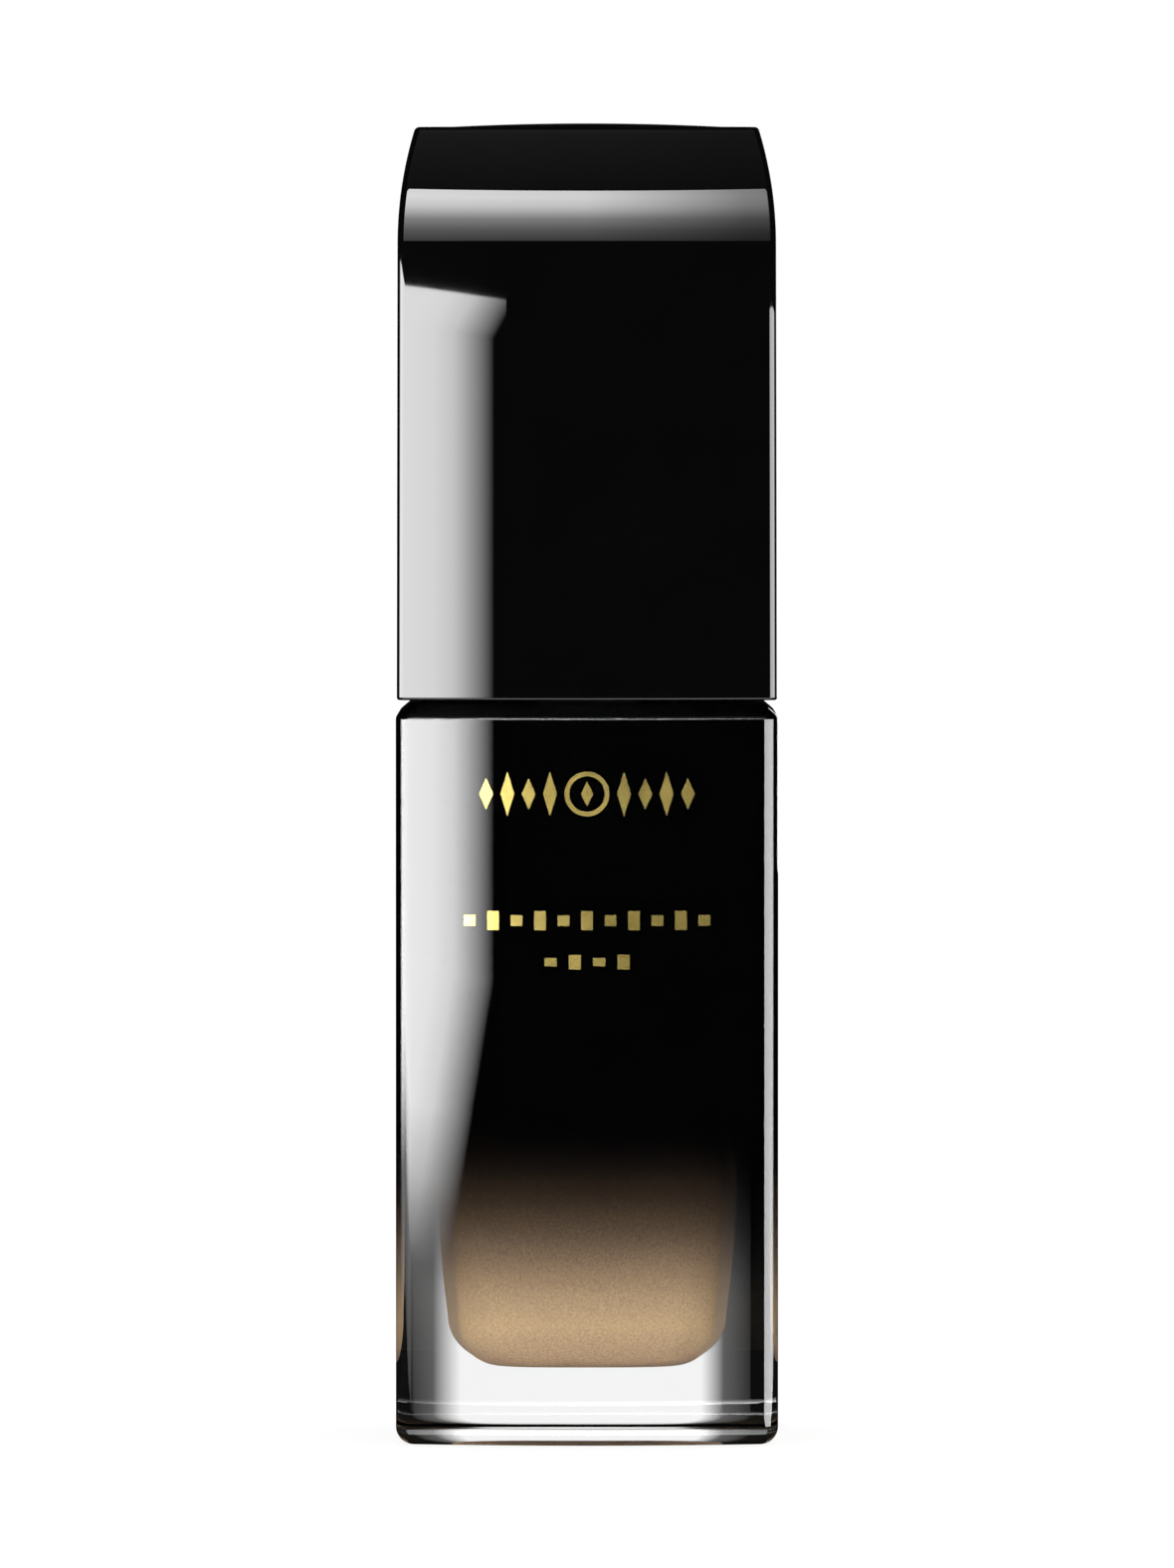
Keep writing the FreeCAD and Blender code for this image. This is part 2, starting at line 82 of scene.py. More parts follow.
@dataclass(frozen=True)
class SquareForm:
    """A square plan: flat left and right sides, bowed front and back, round corners.

    Attributes:
        half: half of the width, and half of the depth at the middle of the bowed faces.
        face_radius: plan radius of the bowed faces.
        side_steps, corner_steps, face_steps: points along half a side, one corner and half a face.
    """

    half: float
    face_radius: float
    side_steps: int = 16
    corner_steps: int = 14
    face_steps: int = 32

    def rings(self, inset: Array, corner: Array) -> Array:
        """Outlines moved in by inset, each with its own corner radius.

        One quarter runs up the flat side at x = half, turns round the corner circle, and follows the
        face's circle to its middle; the other three quarters are its mirror images.

        Args:
            inset: how far each outline is moved in, one number per ring.
            corner: corner radius, one number per ring.

        Returns:
            An array of shape (rings, points, 2), anticlockwise seen from above.
        """
        inset, corner = np.broadcast_arrays(np.atleast_1d(inset), np.atleast_1d(corner))
        inset, corner = inset[:, None].astype(float), corner[:, None].astype(float)
        half, radius = self.half - inset, self.face_radius - inset
        cx = half - corner
        cy = np.sqrt((radius - corner) ** 2 - cx ** 2) - (radius - half)
        lean = np.arctan2(cx, cy + radius - half)
        s = np.sin(np.linspace(0, math.pi / 2, self.side_steps + 1))[None, :-1]
        c = np.linspace(0, 1, self.corner_steps + 1)[None, :-1]
        f = 1 - np.cos(np.linspace(0, math.pi / 2, self.face_steps + 1))[None]
        turn = c * (math.pi / 2 - lean)
        x = np.concatenate([half + 0 * s, cx + corner * np.cos(turn), radius * np.sin(lean * (1 - f))], 1)
        y = np.concatenate([cy * s, cy + corner * np.sin(turn),
                            radius * np.cos(lean * (1 - f)) - (radius - half)], 1)
        full_x = np.concatenate([x, -x[:, -2::-1], -x[:, 1:], x[:, -2:0:-1]], 1)
        full_y = np.concatenate([y, y[:, -2::-1], -y[:, 1:], -y[:, -2:0:-1]], 1)
        return np.stack([full_x, full_y], 2)

    def bearings(self) -> Array:
        """The polar angle of each point of the outline, for round rings that line up with it."""
        ring = self.rings(np.array([0.0]), np.array([1.8]))[0]
        return np.arctan2(ring[:, 1], ring[:, 0])


@dataclass
class Profile:
    """A profile carried round the plan: each entry is one ring.

    A ring is a mix of a square outline and a circle, times a scale, at a height.
    """

    inset: list[Array] = field(default_factory=list)
    corner: list[Array] = field(default_factory=list)
    scale: list[Array] = field(default_factory=list)
    share: list[Array] = field(default_factory=list)
    radius: list[Array] = field(default_factory=list)
    height: list[Array] = field(default_factory=list)

    def add(self, height: Array | float, inset: Array | float = 0.0, corner: Array | float = 1.8,
            scale: Array | float = 1.0, share: Array | float = 0.0, radius: Array | float = 1.0) -> None:
        """Adds rings.

        Args:
            height: heights of the rings.
            inset: how far the square outline is moved in.
            corner: corner radius of the square outline.
            scale: shrinks the square outline towards the axis.
            share: 0 for the square outline, 1 for the circle.
            radius: radius of the circle.
        """
        values = np.broadcast_arrays(*(np.atleast_1d(np.asarray(v, float))
                                       for v in (height, inset, corner, scale, share, radius)))
        for store, value in zip((self.height, self.inset, self.corner, self.scale, self.share,
                                 self.radius), values):
            store.append(value)

    def points(self, form: SquareForm, lift: Callable[[Array, Array], Array] | None = None) -> Array:
        """The rings' points.

        Args:
            form: the square plan.
            lift: changes the points: given (rings, points, 3), it returns the same shape.

        Returns:
            An array of shape (rings, points, 3), in millimetres.
        """
        height, inset, corner, scale, share, radius = (
            np.concatenate(v) for v in (self.height, self.inset, self.corner, self.scale, self.share,
                                        self.radius))
        square = form.rings(inset, corner) * scale[:, None, None]
        bearing = form.bearings()
        circle = radius[:, None, None] * np.stack([np.cos(bearing), np.sin(bearing)], 1)[None]
        mix = share[:, None, None]
        plan = square * (1 - mix) + circle * mix
        z = np.broadcast_to(height[:, None, None], plan.shape[:2] + (1,))
        made = np.concatenate([plan, z], 2)
        return lift(made, share) if lift else made


class Ends(Enum):
    """How the two ends of a stack of rings are closed."""

    POLES = "a middle point at each end"
    LOOP = "the last ring joined to the first"


def skin(name: str, rings: Array, ends: Ends) -> bpy.types.Object:
    """A closed mesh through a stack of rings.

    Neighbouring rings are joined by quads whose faces point to the right of the profile's direction,
    seen with the axis on the left: outwards where the profile climbs.

    Args:
        name: the piece's name.
        rings: an array of shape (rings, points, 3), in millimetres.
        ends: how the stack is closed.

    Returns:
        The new object, at the origin.
    """
    rows, count = rings.shape[:2]
    points = rings.reshape(-1, 3)
    i = np.arange(count)
    j = np.arange(rows if ends is Ends.LOOP else rows - 1)[:, None]
    after, up = (i + 1) % count, (j + 1) % rows
    quads = np.stack([j * count + i, j * count + after, up * count + after, up * count + i], 2).reshape(-1, 4)
    sizes = [np.full(len(quads), 4)]
    corners = [quads.ravel()]
    if ends is Ends.POLES:
        points = np.concatenate([points, rings[0].mean(0)[None], rings[-1].mean(0)[None]])
        low, high = rows * count, rows * count + 1
        top = (rows - 1) * count
        corners.append(np.stack([np.full(count, low), after, i], 1).ravel())
        corners.append(np.stack([np.full(count, high), top + i, top + after], 1).ravel())
        sizes.append(np.full(2 * count, 3))
    size = np.concatenate(sizes)
    mesh = bpy.data.meshes.new(name)
    mesh.vertices.add(len(points))
    mesh.vertices.foreach_set("co", (points * MM).astype(np.float32).ravel())
    mesh.loops.add(int(size.sum()))
    mesh.loops.foreach_set("vertex_index", np.concatenate(corners).astype(np.int32))
    mesh.polygons.add(len(size))
    mesh.polygons.foreach_set("loop_start", (np.cumsum(size) - size).astype(np.int32))
    mesh.polygons.foreach_set("use_smooth", np.ones(len(size), bool))
    mesh.update(calc_edges=True)
    mesh.validate()
    mesh.set_sharp_from_angle(angle=math.radians(38))
    made = bpy.data.objects.new(name, mesh)
    bpy.context.scene.collection.objects.link(made)
    return made


# ------------------------------------------------------------------------------------------------
# finishes
# ------------------------------------------------------------------------------------------------

class Effect(Enum):
    """Node groups that more than one finish uses."""

    CLOUDS = "Soft clouds"
    GRAIN = "Fine grain"


def group_socket(group: bpy.types.NodeTree, name: str, way: str, kind: str, value: float = 0.0) -> None:
    """Adds a named socket to a node group, with its first value on an input."""
    socket = group.interface.new_socket(name=name, in_out=way, socket_type=kind)
    if way == "INPUT" and kind == "NodeSocketFloat":
        socket.default_value = value


def noise_group(effect: Effect, detail: float) -> bpy.types.NodeTree:
    """A group that spreads a value round a middle by noise on the given coordinates.

    Args:
        effect: which effect, for its name.
        detail: detail of the noise.

    Returns:
        A group with inputs Vector, Scale, Middle and Spread, and output Value, which is Middle plus
        Spread times the noise centred on nought.
    """
    found = bpy.data.node_groups.get(effect.value)
    if found:
        return found
    group = bpy.data.node_groups.new(effect.value, "ShaderNodeTree")
    group_socket(group, "Vector", "INPUT", "NodeSocketVector")
    group_socket(group, "Scale", "INPUT", "NodeSocketFloat", 100.0)
    group_socket(group, "Middle", "INPUT", "NodeSocketFloat", 0.5)
    group_socket(group, "Spread", "INPUT", "NodeSocketFloat", 0.1)
    group_socket(group, "Value", "OUTPUT", "NodeSocketFloat")
    nodes, links = group.nodes, group.links
    entry, leave = nodes.new("NodeGroupInput"), nodes.new("NodeGroupOutput")
    noise = nodes.new("ShaderNodeTexNoise")
    noise.inputs["Detail"].default_value = detail
    centre = nodes.new("ShaderNodeMath")
    centre.operation = "SUBTRACT"
    centre.inputs[1].default_value = 0.5
    spread = nodes.new("ShaderNodeMath")
    spread.operation = "MULTIPLY_ADD"
    links.new(entry.outputs["Vector"], noise.inputs["Vector"])
    links.new(entry.outputs["Scale"], noise.inputs["Scale"])
    links.new(noise.outputs["Fac"], centre.inputs[0])
    links.new(centre.outputs[0], spread.inputs[0])
    links.new(entry.outputs["Spread"], spread.inputs[1])
    links.new(entry.outputs["Middle"], spread.inputs[2])
    links.new(spread.outputs[0], leave.inputs["Value"])
    return group


@dataclass
class Bench:
    """A material being made: its Principled shader, its nodes and its object coordinates."""

    name: str

    def __post_init__(self) -> None:
        """Makes the material with one Principled shader."""
        self.material = bpy.data.materials.new(self.name)
        self.material.use_nodes = True
        self.tree = self.material.node_tree
        self.shader = self.tree.nodes["Principled BSDF"]
        self.place = self.tree.nodes.new("ShaderNodeTexCoord")

    @property
    def where(self) -> bpy.types.NodeSocket:
        """The object coordinates, in metres."""
        return self.place.outputs["Object"]

    def node(self, kind: str, **settings: object) -> bpy.types.Node:
        """A new node with some of its settings."""
        made = self.tree.nodes.new(kind)
        for key, value in settings.items():
            setattr(made, key, value)
        return made

    def link(self, start: bpy.types.NodeSocket, end: bpy.types.NodeSocket) -> None:
        """Joins two sockets."""
        self.tree.links.new(start, end)

    def plain(self, **values: object) -> None:
        """Sets the shader's own sockets, with _ for a space in their names."""
        for key, value in values.items():
            socket = self.shader.inputs[key.replace("_", " ")]
            socket.default_value = (*value, 1.0) if socket.type == "RGBA" else value

    def effect(self, effect: Effect, scale: float, middle: float, spread: float) -> bpy.types.NodeSocket:
        """Places a noise group and gives back its value."""
        made = self.node("ShaderNodeGroup")
        made.node_tree = noise_group(effect, 2.0 if effect is Effect.CLOUDS else 0.0)
        self.link(self.where, made.inputs["Vector"])
        made.inputs["Scale"].default_value = scale
        made.inputs["Middle"].default_value = middle
        made.inputs["Spread"].default_value = spread
        return made.outputs["Value"]

    def height(self) -> bpy.types.NodeSocket:
        """The height above the base, in metres."""
        split = self.node("ShaderNodeSeparateXYZ")
        self.link(self.where, split.inputs[0])
        return split.outputs["Z"]

    def ramp(self, value: bpy.types.NodeSocket, low: float, high: float) -> bpy.types.NodeSocket:
        """Maps a value from the range low to high onto 0 to 1, held at both ends."""
        spread = self.node("ShaderNodeMapRange")
        spread.inputs["From Min"].default_value = low
        spread.inputs["From Max"].default_value = high
        self.link(value, spread.inputs["Value"])
        return spread.outputs["Result"]

    def curve(self, value: bpy.types.NodeSocket,
              stops: Sequence[tuple[float, float]]) -> bpy.types.NodeSocket:
        """A grey curve through some stops, for a value from 0 to 1."""
        ramp = self.node("ShaderNodeValToRGB")
        bar = ramp.color_ramp
        while len(bar.elements) < len(stops):
            bar.elements.new(0.5)
        for element, (at, level) in zip(bar.elements, stops):
            element.position = at
            element.color = (level, level, level, 1.0)
        self.link(value, ramp.inputs["Fac"])
        return ramp.outputs["Color"]

    def colours(self, value: bpy.types.NodeSocket, first: Colour, second: Colour) -> bpy.types.NodeSocket:
        """A blend of two colours by a value."""
        blend = self.node("ShaderNodeMix", data_type="RGBA")
        blend.inputs[6].default_value = (*first, 1.0)
        blend.inputs[7].default_value = (*second, 1.0)
        self.link(value, blend.inputs[0])
        return blend.outputs[2]

    def bump(self, value: bpy.types.NodeSocket, strength: float, depth: float) -> None:
        """Bumps the surface by a value, depth in metres."""
        bump = self.node("ShaderNodeBump")
        bump.inputs["Strength"].default_value = strength
        bump.inputs["Distance"].default_value = depth
        self.link(value, bump.inputs["Height"])
        self.link(bump.outputs["Normal"], self.shader.inputs["Normal"])


@dataclass(frozen=True)
class Finish:
    """An opaque finish: a colour that drifts a little and a roughness that drifts a little.

    Attributes:
        name: the material's name.
        colour, drift: the two colours it drifts between.
        metallic: 1 for bare metal.
        roughness, roughness_spread: middle and spread of the roughness.
        grain_scale: size of the grain, in waves per metre.
        bump_depth: depth of the grain in metres, or 0.
        coat: weight of a clear coat.
        subsurface: how much light goes into it.
    """

    name: str
    colour: Colour
    drift: Colour
    metallic: float = 0.0
    roughness: float = 0.3
    roughness_spread: float = 0.06
    grain_scale: float = 900.0
    bump_depth: float = 0.0
    coat: float = 0.0
    subsurface: float = 0.0

    def build(self) -> bpy.types.Material:
        """Makes the material."""
        bench = Bench(self.name)
        drift = bench.ramp(bench.effect(Effect.CLOUDS, 120.0, 0.5, 1.0), 0.2, 0.8)
        bench.link(bench.colours(drift, self.colour, self.drift), bench.shader.inputs["Base Color"])
        rough = bench.effect(Effect.CLOUDS, 260.0, self.roughness, self.roughness_spread)
        bench.link(rough, bench.shader.inputs["Roughness"])
        bench.plain(Metallic=self.metallic, Coat_Weight=self.coat, Coat_Roughness=0.05)
        if self.subsurface:
            bench.plain(Subsurface_Weight=self.subsurface, Subsurface_Radius=(0.001, 0.001, 0.001),
                        Subsurface_Scale=1.0)
        if self.bump_depth:
            bench.bump(bench.effect(Effect.GRAIN, self.grain_scale, 0.5, 1.0), 1.0, self.bump_depth)
        return bench.material


@dataclass(frozen=True)
class ClearGlass:
    """Heavy flint glass, polished, with a very slight waviness all over."""

    name: str = "Clear flint glass"
    tint: Colour = (0.985, 0.99, 0.988)
    index: float = 1.55
    wave_scale: float = 160.0
    wave_depth: float = 0.0000012

    def build(self) -> bpy.types.Material:
        """Makes the material."""
        bench = Bench(self.name)
        bench.plain(Base_Color=self.tint, Transmission_Weight=1.0, IOR=self.index, Roughness=0.0)
        bench.bump(bench.effect(Effect.CLOUDS, self.wave_scale, 0.5, 1.0), 1.0, self.wave_depth)
        return bench.material


@dataclass(frozen=True)
class SprayedLacquer:
    """Black lacquer, solid on the upper glass and thinning to nothing low down.

    Attributes:
        clear_at: height in metres where the spray ends.
        solid_at: height in metres where it is opaque.
        cover: (share of the way up, opacity) of one of the film's two faces.
    """

    name: str = "Black sprayed lacquer"
    clear_at: float = 0.0114
    solid_at: float = 0.0306
    cover: tuple[tuple[float, float], ...] = (
        (0.0, 0.0), (0.10, 0.02), (0.24, 0.125), (0.37, 0.27), (0.51, 0.43), (0.65, 0.58),
        (0.80, 0.77), (0.90, 0.93), (1.0, 1.0))

    def build(self) -> bpy.types.Material:
        """Makes the material."""
        bench = Bench(self.name)
        bench.plain(Base_Color=(0.0015, 0.0015, 0.0016), Specular_IOR_Level=0.12, Roughness=0.05)
        rise = bench.ramp(bench.height(), self.clear_at, self.solid_at)
        speck = bench.node("ShaderNodeMath", operation="ADD")
        bench.link(rise, speck.inputs[0])
        bench.link(bench.effect(Effect.GRAIN, 9000.0, 0.0, 0.02), speck.inputs[1])
        bench.link(bench.curve(speck.outputs[0], self.cover), bench.shader.inputs["Alpha"])
        return bench.material


@dataclass(frozen=True)
class PearlFoundation:
    """Tan liquid with a fine gold pearl grain, and a painted highlight: a brighter gold band painted into its
    colour just above the floor of the bottle.

    Attributes:
        low, high: the plain colour, and the gold colour of both the pearl grain and the painted highlight
            band.
        highlight_band_foot, highlight_band_top: heights in metres between which the painted highlight varies.
        glow: (share of the way up between them, how much painted highlight shows).
    """

    name: str = "Pearl foundation"
    low: Colour = (0.48, 0.315, 0.215)
    high: Colour = (0.84, 0.60, 0.34)
    highlight_band_foot: float = 0.006
    highlight_band_top: float = 0.021
    glow: tuple[tuple[float, float], ...] = (
        (0.0, 0.10), (0.14, 0.35), (0.30, 0.85), (0.45, 0.62), (0.75, 0.28), (1.0, 0.12))

    def build(self) -> bpy.types.Material:
        """Makes the material."""
        bench = Bench(self.name)
        # Painted highlight: the colour is lifted towards brighter gold in a band just above the floor,
        # standing in for light. The grain added below is the real pearl.
        rise = bench.ramp(bench.height(), self.highlight_band_foot, self.highlight_band_top)
        glow = bench.curve(rise, self.glow)
        speck = bench.node("ShaderNodeMath", operation="ADD")
        bench.link(glow, speck.inputs[0])
        bench.link(bench.effect(Effect.GRAIN, 5200.0, 0.0, 0.9), speck.inputs[1])
        bench.link(bench.colours(speck.outputs[0], self.low, self.high), bench.shader.inputs["Base Color"])
        bench.plain(Roughness=0.45, Specular_IOR_Level=0.05)
        return bench.material


class Palette:
    """Every finish, made once."""

    def __init__(self) -> None:
        """Makes the materials."""
        self.glass = ClearGlass().build()
        self.lacquer = SprayedLacquer().build()
        self.foundation = PearlFoundation().build()
        self.gloss_black = Finish("Black gloss plastic", (0.0018, 0.0018, 0.002), (0.0026, 0.0026, 0.0028),
                                  roughness=0.012, roughness_spread=0.008, grain_scale=330.0,
                                  bump_depth=0.0000005).build()
        self.matte_black = Finish("Black satin plastic", (0.012, 0.012, 0.013), (0.018, 0.018, 0.019),
                                  roughness=0.45, bump_depth=0.00001).build()
        self.gold_foil = Finish("Gold hot foil", (0.58, 0.44, 0.12), (0.70, 0.56, 0.18), metallic=1.0,
                                roughness=0.22, roughness_spread=0.10, grain_scale=3000.0,
                                bump_depth=0.000002).build()
        self.champagne = Finish("Champagne anodised metal", (0.74, 0.58, 0.36), (0.80, 0.64, 0.42),
                                metallic=1.0, roughness=0.22, grain_scale=2600.0,
                                bump_depth=0.000003).build()
        self.natural = Finish("Natural pump plastic", (0.74, 0.74, 0.71), (0.80, 0.80, 0.77),
                              roughness=0.35, subsurface=0.3).build()
        self.seal = Finish("Soft seal plastic", (0.62, 0.66, 0.70), (0.68, 0.71, 0.74),
                           roughness=0.5, subsurface=0.2).build()
        self.gasket = Finish("Gasket rubber", (0.78, 0.78, 0.74), (0.70, 0.70, 0.67),
                             roughness=0.7, bump_depth=0.00001).build()
        self.steel = Finish("Spring steel", (0.60, 0.60, 0.62), (0.50, 0.50, 0.52), metallic=1.0,
                            roughness=0.22).build()
        self.label = Finish("Blank label film", (0.55, 0.55, 0.56), (0.60, 0.60, 0.61),
                            roughness=0.5).build()


def dress(node: str, material: bpy.types.Material) -> bpy.types.Object:
    """Gives a CAD node its material."""
    piece = bpy.data.objects[node]
    piece.data.materials.clear()
    piece.data.materials.append(material)
    log.info("dressed %s in %s", node, material.name)
    return piece


def settle(piece: bpy.types.Object, material: bpy.types.Material, body: str,
           stands_for: str | None = None) -> bpy.types.Object:
    """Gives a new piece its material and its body.

    Args:
        piece: the new piece.
        material: its finish.
        body: the body it moves with.
        stands_for: the CAD node it is shown in place of, if any.

    Returns:
        The piece.
    """
    piece.data.materials.append(material)
    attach(piece, body)
    if stands_for:
        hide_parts(stands_for)
    log.info("built %s: %d faces, on %s", piece.name, len(piece.data.polygons), body)
    return piece


# ------------------------------------------------------------------------------------------------
# the object
# ------------------------------------------------------------------------------------------------

@dataclass
class Bottle:
    """The glass, its lacquer, its filling and its foil.

    Attributes are sizes in millimetres, apart from the palette, thread_turns and thread_fade, which is
    a share of a turn. The pump_way and tube_way are the radii that the liquid leaves for the pump and
    its tube, and the film sizes are the lacquer's foot and its depths under the surface.
    """

    palette: Palette
    half: float = 17.1
    face_radius: float = 62.0
    corner: float = 1.8
    heel: float = 1.6
    shoulder_start: float = 65.2
    shoulder_top: float = 66.4
    shoulder_inset: float = 1.4
    shoulder_round: float = 0.7
    wall: float = 5.4
    inner_corner: float = 4.0
    floor: float = 6.7
    push_up: float = 0.6
    flare_top: float = 22.5
    floor_round: float = 4.0
    taper: float = 0.8
    ceiling: float = 62.5
    ceiling_fall: float = 0.35
    bore: float = 5.3
    recess_inset: float = 5.2
    recess_depth: float = 0.5
    neck: float = 8.0
    neck_top: float = 78.3
    neck_root: float = 0.4
    neck_lip: float = 0.5
    fill_level: float = 55.0
    thread_start: float = 69.6
    thread_pitch: float = 3.175
    thread_turns: float = 1.4
    thread_height: float = 0.85
    thread_half_foot: float = 0.857
    thread_flank: float = 0.407
    thread_fade: float = 0.05
    pump_way: float = 3.0
    pump_way_floor: float = 49.6
    tube_way: float = 1.9
    tube_way_floor: float = 7.55
    film_foot: float = 8.5
    film_outside: float = 0.02
    film_inside: float = 0.045

    def __post_init__(self) -> None:
        """Makes the square form."""
        self.form = SquareForm(self.half, self.face_radius)

    def outer(self, profile: Profile, low: float, gap: float) -> None:
        """Adds the outer wall from a height up over the shoulder, moved in by gap.

        The wall is upright, turns along a small arc into a chamfer, and ends in a small round onto the
        flat shoulder.
        """
        slope = math.atan2(self.shoulder_inset, self.shoulder_top - self.shoulder_start)
        start = self.shoulder_start - self.shoulder_round * math.tan(slope / 2)
        profile.add(eased(low, start, 44), gap, self.corner)
        a = np.linspace(0, slope, 9)[1:]
        inset = self.shoulder_round * (1 - np.cos(a))
        profile.add(start + self.shoulder_round * np.sin(a), inset + gap, self.corner - inset * 0.4)
        bend, edge = 0.25, self.corner * 0.6
        reach = bend * math.tan((math.pi / 2 - slope) / 2)
        last = inset[-1]
        stop = self.shoulder_inset - reach * math.sin(slope)
        run = eased(last, stop, 6)[1:]
        profile.add(self.shoulder_start + run * math.tan(math.pi / 2 - slope), run + gap,
                    np.linspace(self.corner - last * 0.4, edge, len(run)))
        b = np.linspace(math.pi / 2 - slope, 0, 6)[1:]
        profile.add(self.shoulder_top - bend * (1 - np.cos(b)),
                    self.shoulder_inset + reach - bend * np.sin(b) + gap, edge)

    def inner(self, gap: float) -> Profile:
        """The inside from the middle of the floor up to the ceiling, moved out into the glass by gap.

        The floor rises in the middle by half a cosine, turns up through a quarter-round, and the wall
        widens by a power of its height until the flare ends.
        """
        profile = Profile()
        wall = self.wall - gap
        lowest = self.taper + self.floor_round
        s = np.linspace(0.04, 0.97, 30)
        rise = self.push_up * (1 + np.cos(math.pi * s)) / 2
        profile.add(self.floor - gap + rise, wall + lowest, self.inner_corner, s)
        a = quarter(16)
        profile.add(self.floor - gap + self.floor_round * (1 - np.cos(a)),
                    wall + self.taper + self.floor_round * (1 - np.sin(a)), self.inner_corner)
        bottom = self.floor - gap + self.floor_round
        z = eased(bottom, self.flare_top, 18)[1:]
        t = (self.flare_top - z) / (self.flare_top - bottom)
        profile.add(z, wall + self.taper * t ** 1.6, self.inner_corner)
        return profile

    def thread(self, points: Array, share: Array) -> Array:
        """Raises the screw thread on the neck.

        The ridge follows height = start + pitch x turns; across it the radius rises along a sloping
        flank to a flat crest, and its two ends fade out.
        """
        x, y, z = points[..., 0], points[..., 1], points[..., 2]
        turn = np.mod(np.arctan2(y, x) / (2 * math.pi), 1.0)
        ridge = np.zeros_like(z)
        for whole in (0, 1):
            along = turn + whole
            off = np.abs(z - self.thread_start - self.thread_pitch * along)
            flank = np.clip((self.thread_half_foot - off) / self.thread_flank, 0, 1)
            fade = self.thread_fade
            ends = np.clip(along / fade, 0, 1) * np.clip((self.thread_turns - along) / fade, 0, 1)
            ridge = np.maximum(ridge, flank * ends)
        on_neck = (share[:, None] > 0.999) & (np.hypot(x, y) > self.neck - 0.01)
        grow = 1 + on_neck * ridge * self.thread_height / self.neck
        return np.stack([x * grow, y * grow, z], 2)

    def glass(self) -> bpy.types.Object:
        """The glass, as one closed surface from the recess round the outside and down the inside."""
        p = Profile()
        deep = self.recess_inset + 0.2
        p.add(self.recess_depth, deep, self.inner_corner, np.linspace(0.05, 0.98, 8))
        a = quarter(4)
        p.add(self.recess_depth - 0.2 * (1 - np.cos(a)), deep - 0.2 * np.sin(a), self.inner_corner)
        p.add(0.12 - 0.12 * np.sin(a), self.recess_inset - 0.12 * (1 - np.cos(a)), self.inner_corner)
        flat = eased(self.recess_inset - 0.14, self.heel + 0.02, 10)
        corner = np.maximum(self.inner_corner + (flat - self.recess_inset), self.corner - self.heel + 0.1)
        p.add(0.0, flat, np.clip(corner, 0.35, None))
        h = quarter(14)
        inset = self.heel * (1 - np.sin(h))
        p.add(self.heel * (1 - np.cos(h)), inset, np.maximum(self.corner - inset, 0.3))
        self.outer(p, self.heel + 0.04, 0.0)
        share = np.linspace(0, 1, 12)[1:]
        p.add(self.shoulder_top, self.shoulder_inset + 0.3, 1.0, 1.0, share, self.neck + self.neck_root)
        root = quarter(5)
        p.add(self.shoulder_top + self.neck_root * (1 - np.cos(root)), share=1.0,
              radius=self.neck + self.neck_root * (1 - np.sin(root)))
        p.add(np.linspace(self.shoulder_top + 0.45, self.neck_top - self.neck_lip, 96), share=1.0,
              radius=self.neck)
        lip = quarter(6)
        p.add(self.neck_top - self.neck_lip * (1 - np.sin(lip)), share=1.0,
              radius=self.neck - self.neck_lip * (1 - np.cos(lip)))
        p.add(self.neck_top, share=1.0, radius=np.linspace(self.neck - 0.6, self.bore + 0.4, 4))
        p.add(self.neck_top - 0.3 * (1 - np.cos(lip)), share=1.0, radius=self.bore + 0.3 * (1 - np.sin(lip)))
        p.add(eased(self.neck_top - 0.4, self.ceiling, 14), share=1.0, radius=self.bore)
        share = np.linspace(1, 0, 14)[1:]
        p.add(self.ceiling - 0.01, self.wall, self.inner_corner, 1.0, share, self.bore)
        slope_at = (sum(len(v) for v in p.height) - len(share), sum(len(v) for v in p.height))
        edge = self.ceiling - self.ceiling_fall * (self.half - self.wall + 1.6)
        p.add(eased(edge - 2.2, self.flare_top, 24), self.wall, self.inner_corner)
        inner = self.inner(0.0)
        for name in ("height", "inset", "corner", "scale", "share", "radius"):
            getattr(p, name).append(np.concatenate(getattr(inner, name))[::-1][1:])

        def shape(points: Array, share: Array) -> Array:
            """Threads the neck and slopes the ceiling away from the bore."""
            points = self.thread(points, share)
            first, last = slope_at
            part = points[first:last]
            away = np.hypot(part[..., 0], part[..., 1]) - self.bore
            part[..., 2] = self.ceiling - self.ceiling_fall * away
            return points

        return skin("glass_body", p.points(self.form, shape), Ends.POLES)

    def filling(self) -> bpy.types.Object:
        """The liquid: it wets the glass, has a shallow meniscus, and leaves a way for the pump."""
        gap = 0.03
        p = self.inner(gap)
        wall = self.wall - gap
        p.add(eased(self.flare_top + 0.1, self.fill_level - 0.1, 20), wall, self.inner_corner)
        rim = np.linspace(0, 1, 8)
        p.add(self.fill_level + 0.5 * (1 - rim) ** 2, wall + 0.05 + 1.5 * rim, self.inner_corner)
        wide, narrow, step = self.pump_way, self.tube_way, self.pump_way_floor
        p.add(self.fill_level, wall + 1.7, self.inner_corner, 1.0, np.linspace(0.1, 1, 10), wide)
        p.add(np.linspace(self.fill_level - 0.1, step, 8), share=1.0, radius=wide)
        p.add(step, share=1.0, radius=np.linspace(wide - 0.2, narrow, 3))
        p.add(np.linspace(step - 0.1, self.tube_way_floor + 0.05, 24), share=1.0, radius=narrow)
        p.add(self.tube_way_floor, share=1.0, radius=np.linspace(narrow - 0.2, 0.2, 4))
        return skin("foundation_liquid", p.points(self.form), Ends.POLES)

